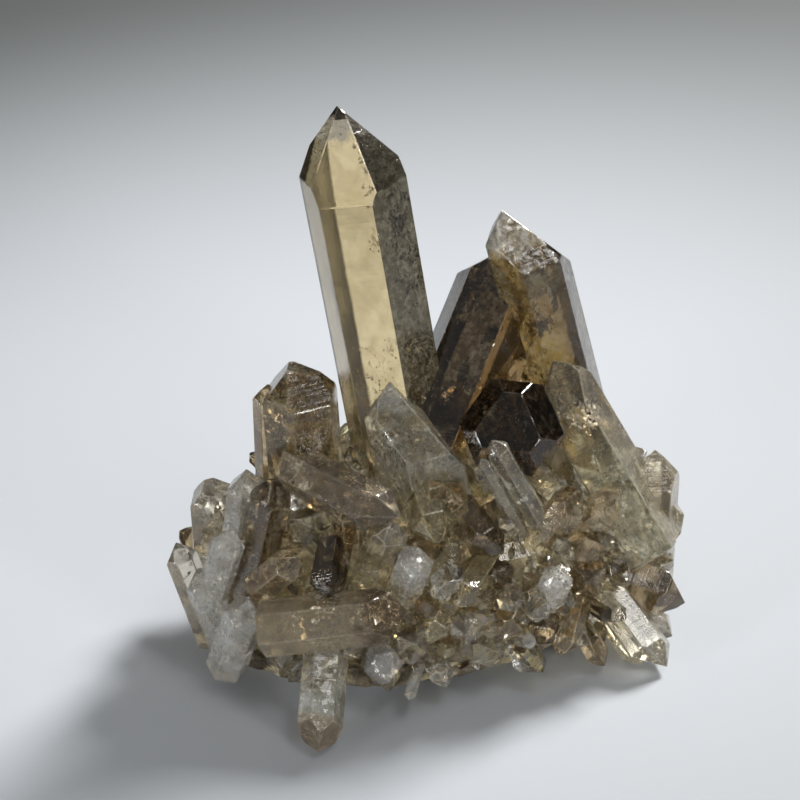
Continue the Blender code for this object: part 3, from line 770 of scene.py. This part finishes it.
class Nodes:
    """Short ways to add and join shader nodes."""

    def __init__(self, name):
        self.material = bpy.data.materials.new(name)
        self.material.use_nodes = True
        self.tree = self.material.node_tree
        self.shader = self.tree.nodes["Principled BSDF"]
        self.output = self.tree.nodes["Material Output"]

    def add(self, kind, **settings):
        node = self.tree.nodes.new("ShaderNode" + kind)
        for key, value in settings.items():
            setattr(node, key, value)
        return node

    def link(self, source, target):
        self.tree.links.new(source, target)

    def put(self, socket, value):
        if isinstance(value, bpy.types.NodeSocket):
            self.link(value, socket)
        else:
            socket.default_value = value

    def math(self, operation, first, second=0.0, clamp=False):
        node = self.add("Math", operation=operation, use_clamp=clamp)
        self.put(node.inputs[0], first)
        self.put(node.inputs[1], second)
        return node.outputs[0]

    def mix(self, share, first, second, blend="MIX"):
        node = self.add("Mix", data_type="RGBA", blend_type=blend)
        self.put(node.inputs["Factor"], share)
        self.put(node.inputs["A"], first)
        self.put(node.inputs["B"], second)
        return node.outputs["Result"]

    def span(self, value, low, high, to_low=0.0, to_high=1.0):
        node = self.add("MapRange")
        self.put(node.inputs["Value"], value)
        node.inputs["From Min"].default_value = low
        node.inputs["From Max"].default_value = high
        node.inputs["To Min"].default_value = to_low
        node.inputs["To Max"].default_value = to_high
        return node.outputs["Result"]

    def grain(self, place, scale, detail=3.0, rough=0.55, distort=0.0, stretch=None):
        if stretch:
            moved = self.add("Mapping")
            self.link(place, moved.inputs["Vector"])
            moved.inputs["Scale"].default_value = stretch
            place = moved.outputs["Vector"]
        node = self.add("TexNoise")
        self.link(place, node.inputs["Vector"])
        node.inputs["Scale"].default_value = scale
        node.inputs["Detail"].default_value = detail
        node.inputs["Roughness"].default_value = rough
        node.inputs["Distortion"].default_value = distort
        return node.outputs["Fac"]

    def bump(self, height, strength, distance, before=None):
        node = self.add("Bump")
        self.put(node.inputs["Height"], height)
        node.inputs["Strength"].default_value = strength
        node.inputs["Distance"].default_value = distance
        if before:
            self.link(before, node.inputs["Normal"])
        return node.outputs["Normal"]


def quartz_material():
    """Clear smoky quartz: each crystal's own tint, clouds, cap and frost over one brown absorption."""
    n = Nodes("smoky_quartz")
    body = n.add("TexCoord").outputs["Object"]
    place = n.add("UVMap", uv_map="crystal").outputs["UV"]
    tint = n.add("Attribute", attribute_name="tint")
    cap = n.add("Attribute", attribute_name="cap")
    look = n.add("SeparateColor")
    n.link(n.add("Attribute", attribute_name="look").outputs["Color"], look.inputs["Color"])
    cloud = tint.outputs["Alpha"]

    uneven = n.span(n.grain(body, 250, detail=3), 0.3, 0.7, -2.0, 2.0)
    depth = n.math("SUBTRACT", look.outputs["Blue"], n.math("ADD", cap.outputs["Alpha"], uneven))
    in_cap = n.math("MULTIPLY", n.span(depth, -1.0, 1.0), n.math("GREATER_THAN", look.outputs["Blue"], 0.01))
    own = n.mix(in_cap, tint.outputs["Color"], cap.outputs["Color"])
    gained = n.math("SUBTRACT", look.outputs["Green"], look.outputs["Red"])
    frost = n.math("ADD", look.outputs["Red"], n.math("MULTIPLY", gained, in_cap), clamp=True)

    large_clouds = n.span(n.grain(body, 150, detail=4, rough=0.7, distort=0.8), 0.44, 0.62)
    small_clouds = n.span(n.grain(body, 700, detail=3, rough=0.7), 0.46, 0.66)
    dark = n.math("MULTIPLY", n.math("MULTIPLY", large_clouds, cloud), 1.2, clamp=True)
    colour = n.mix(dark, own, n.mix(1.0, own, (0.42, 0.35, 0.25, 1), blend="MULTIPLY"))
    speck = n.math("MULTIPLY", n.math("MULTIPLY", small_clouds, cloud), 0.55)
    colour = n.mix(speck, colour, n.mix(0.45, colour, (0.80, 0.77, 0.68, 1)))
    n.link(colour, n.shader.inputs["Base Color"])
    milk = n.math("ADD", n.math("MULTIPLY", frost, 0.8), n.math("MULTIPLY", speck, 0.16))
    n.link(n.math("SUBTRACT", 0.98, milk, clamp=True), n.shader.inputs["Transmission Weight"])

    stripes = n.grain(place, 1.0, detail=3, rough=0.6, stretch=(0.05, 1.3, 1))
    waves = n.grain(body, 60, detail=1)
    crackle = n.grain(body, 420, detail=3, rough=0.75)
    smear = n.span(n.grain(place, 1.0, detail=2, stretch=(0.25, 0.5, 1)), 0.45, 0.8, 0.015, 0.10)
    rough = n.math("ADD", smear, n.math("MULTIPLY", frost, 0.5), clamp=True)
    n.link(rough, n.shader.inputs["Roughness"])
    normal = n.bump(waves, 0.35, 0.0009)
    normal = n.bump(stripes, 0.35, 0.00025, before=normal)
    normal = n.bump(n.math("MULTIPLY", crackle, cloud), 0.3, 0.0003, before=normal)
    cells = n.add("TexVoronoi")
    n.link(body, cells.inputs["Vector"])
    cells.inputs["Scale"].default_value = 1000
    turned = n.add("VectorMath", operation="SUBTRACT")
    n.link(cells.outputs["Color"], turned.inputs[0])
    turned.inputs[1].default_value = (0.5, 0.5, 0.5)
    scaled = n.add("VectorMath", operation="SCALE")
    n.link(turned.outputs["Vector"], scaled.inputs[0])
    n.link(n.math("MULTIPLY", frost, 1.3), scaled.inputs["Scale"])
    summed = n.add("VectorMath", operation="ADD")
    n.link(normal, summed.inputs[0])
    n.link(scaled.outputs["Vector"], summed.inputs[1])
    unit = n.add("VectorMath", operation="NORMALIZE")
    n.link(summed.outputs["Vector"], unit.inputs[0])
    n.link(unit.outputs["Vector"], n.shader.inputs["Normal"])
    n.shader.inputs["IOR"].default_value = 1.544
    n.shader.inputs["Coat Weight"].default_value = 0.25
    n.shader.inputs["Coat Roughness"].default_value = 0.02
    absorb = n.add("VolumeAbsorption")
    absorb.inputs["Color"].default_value = (0.74, 0.67, 0.49, 1)
    absorb.inputs["Density"].default_value = 26
    n.link(absorb.outputs["Volume"], n.output.inputs["Volume"])
    return n.material


def veil_material():
    """Milky flakes that also shine like the inner walls of cracks."""
    n = Nodes("veil")
    body = n.add("TexCoord").outputs["Object"]
    tint = n.add("Attribute", attribute_name="tint")
    shade = n.span(n.grain(body, 180, detail=2), 0.42, 0.66)
    stained = n.mix(1.0, tint.outputs["Color"], (0.58, 0.50, 0.40, 1), blend="MULTIPLY")
    n.link(n.mix(shade, tint.outputs["Color"], stained), n.shader.inputs["Base Color"])
    n.link(tint.outputs["Alpha"], n.shader.inputs["Metallic"])
    n.shader.inputs["Roughness"].default_value = 0.28
    return n.material


def rock_material():
    """Dark grainy rock with pale and yellowish patches."""
    n = Nodes("host_rock")
    body = n.add("TexCoord").outputs["Object"]
    coarse = n.grain(body, 300, detail=6, rough=0.7)
    grains = n.add("TexVoronoi")
    n.link(body, grains.inputs["Vector"])
    grains.inputs["Scale"].default_value = 900
    patches = n.span(n.grain(body, 70, detail=5, rough=0.65), 0.52, 0.60)
    speck = n.span(grains.outputs["Color"], 0.3, 0.9)
    colour = n.mix(n.span(coarse, 0.35, 0.7), (0.040, 0.030, 0.020, 1), (0.24, 0.19, 0.12, 1))
    colour = n.mix(n.math("MULTIPLY", speck, 0.5), colour, (0.30, 0.26, 0.20, 1))
    colour = n.mix(patches, colour, (0.70, 0.60, 0.36, 1))
    n.link(colour, n.shader.inputs["Base Color"])
    n.link(n.span(coarse, 0.3, 0.7, 0.95, 0.55), n.shader.inputs["Roughness"])
    normal = n.bump(coarse, 0.8, 0.0008)
    normal = n.bump(grains.outputs["Distance"], 0.5, 0.0003, before=normal)
    n.link(normal, n.shader.inputs["Normal"])
    return n.material


def floor_material():
    """Matt, with a painted pool of light: pale round the object and darker grey further off."""
    n = Nodes("floor")
    body = n.add("TexCoord").outputs["Object"]
    away = n.add("VectorMath", operation="DISTANCE")
    n.link(body, away.inputs[0])
    away.inputs[1].default_value = FLOOR_PAINTED_POOL_MIDDLE
    far = n.add("MapRange", interpolation_type="SMOOTHSTEP")
    n.link(away.outputs["Value"], far.inputs["Value"])
    far.inputs["From Min"].default_value = FLOOR_PAINTED_LIT_TO
    far.inputs["From Max"].default_value = FLOOR_PAINTED_UNLIT_FROM
    n.link(n.mix(far.outputs["Result"], FLOOR_PAINTED_LIT, FLOOR_PAINTED_UNLIT), n.shader.inputs["Base Color"])
    n.shader.inputs["Roughness"].default_value = 0.6
    return n.material


# The rock.


def make_rock():
    """The host rock: the solid's outline, with a broken, grainy surface."""
    shape = lump_shape(rock_rings(0))
    bmesh.ops.triangulate(shape, faces=shape.faces)
    bmesh.ops.subdivide_edges(shape, edges=shape.edges, cuts=5, use_grid_fill=True)
    shape.normal_update()
    top = ROCK_LEVELS[-1][0]
    for corner in shape.verts:
        point = corner.co / MM
        side = 1.0 if 0.3 < point.z < top - 0.3 else 0.0
        depth = noise.fractal(point * 0.16, 0.7, 2.0, 5) * 0.9 + noise.noise(point * 0.9) * 0.3
        corner.co -= corner.normal * (max(depth, 0.0) + 0.05) * side * MM
    mesh = bpy.data.meshes.new("rock")
    shape.to_mesh(mesh)
    shape.free()
    rock = bpy.data.objects.new("rock", mesh)
    bpy.context.scene.collection.objects.link(rock)
    return rock


# The stage, the light and the camera.


def make_stage():
    """A plain floor with a painted pool of light: pale near the object, darkening far from it."""
    shape = bmesh.new()
    bmesh.ops.create_grid(shape, x_segments=2, y_segments=2, size=3.0)
    mesh = bpy.data.meshes.new("floor")
    shape.to_mesh(mesh)
    shape.free()
    floor = bpy.data.objects.new("floor", mesh)
    floor.data.materials.append(floor_material())
    bpy.context.scene.collection.objects.link(floor)


def add_light(name, place, target, size, energy, colour):
    data = bpy.data.lights.new(name, "AREA")
    data.size = size
    data.energy = energy
    data.color = colour
    light = bpy.data.objects.new(name, data)
    light.location = place
    light.rotation_euler = (Vector(target) - Vector(place)).to_track_quat("-Z", "Y").to_euler()
    bpy.context.scene.collection.objects.link(light)


def make_light():
    """A soft key from the right and behind, weaker lights in front, and a sky that is brightest overhead."""
    add_light("key", (0.84, 0.66, 1.00), (0, 0, 0.04), 0.40, 43.0, (1.0, 0.99, 0.97))
    add_light("glint", (0.27, -0.29, 0.72), (0, 0, 0.04), 0.20, 1.0, (1.0, 1.0, 1.0))
    add_light("fill", (-0.82, -0.52, 0.24), (0, 0, 0.05), 0.26, 4.5, (0.98, 0.99, 1.0))
    add_light("side", (0.60, -0.84, 0.27), (0, 0, 0.05), 0.18, 4.5, (1.0, 1.0, 0.98))
    world = bpy.data.worlds.new("studio")
    world.use_nodes = True
    tree = world.node_tree
    background = tree.nodes["Background"]
    way = tree.nodes.new("ShaderNodeTexCoord")
    split = tree.nodes.new("ShaderNodeSeparateXYZ")
    height = tree.nodes.new("ShaderNodeMapRange")
    height.interpolation_type = "SMOOTHSTEP"
    height.inputs["From Min"].default_value = 0.25
    height.inputs["From Max"].default_value = 0.85
    shade = tree.nodes.new("ShaderNodeMix")
    shade.data_type = "RGBA"
    shade.inputs["A"].default_value = (0.07, 0.085, 0.08, 1)
    shade.inputs["B"].default_value = (0.64, 0.63, 0.61, 1)
    tree.links.new(way.outputs["Generated"], split.inputs["Vector"])
    tree.links.new(split.outputs["Z"], height.inputs["Value"])
    tree.links.new(height.outputs["Result"], shade.inputs["Factor"])
    tree.links.new(shade.outputs["Result"], background.inputs["Color"])
    background.inputs["Strength"].default_value = 0.45
    bpy.context.scene.world = world
    bpy.context.scene.view_settings.view_transform = "Standard"


def make_camera():
    """The photograph's view: 30 degrees down, with the upright leaning 6 degrees to the left."""
    target = Vector((0.003, 0, 0.060))
    height = math.radians(30)
    roll = math.radians(6)
    back = Vector((0, -math.cos(height), math.sin(height)))
    place = target + back * 0.450
    right = Vector((1, 0, 0))
    up = back.cross(right)
    turned_right = right * math.cos(roll) - up * math.sin(roll)
    turned_up = right * math.sin(roll) + up * math.cos(roll)
    camera = bpy.data.objects.new("camera", bpy.data.cameras.new("camera"))
    columns = Matrix((turned_right, turned_up, back)).transposed()
    camera.matrix_world = Matrix.Translation(place) @ columns.to_4x4()
    camera.data.sensor_width = 36
    camera.data.lens = 95.2
    camera.data.clip_start = 0.01
    bpy.context.scene.collection.objects.link(camera)
    bpy.context.scene.camera = camera


def main():
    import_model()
    quartz = make_quartz()
    quartz.data.materials.append(quartz_material())
    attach(quartz, "root")
    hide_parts("quartz_cluster")
    veils = make_veils()
    veils.data.materials.append(veil_material())
    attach(veils, "root")
    rock = make_rock()
    rock.data.materials.append(rock_material())
    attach(rock, "root")
    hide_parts("matrix")
    make_stage()
    make_light()
    make_camera()


main()
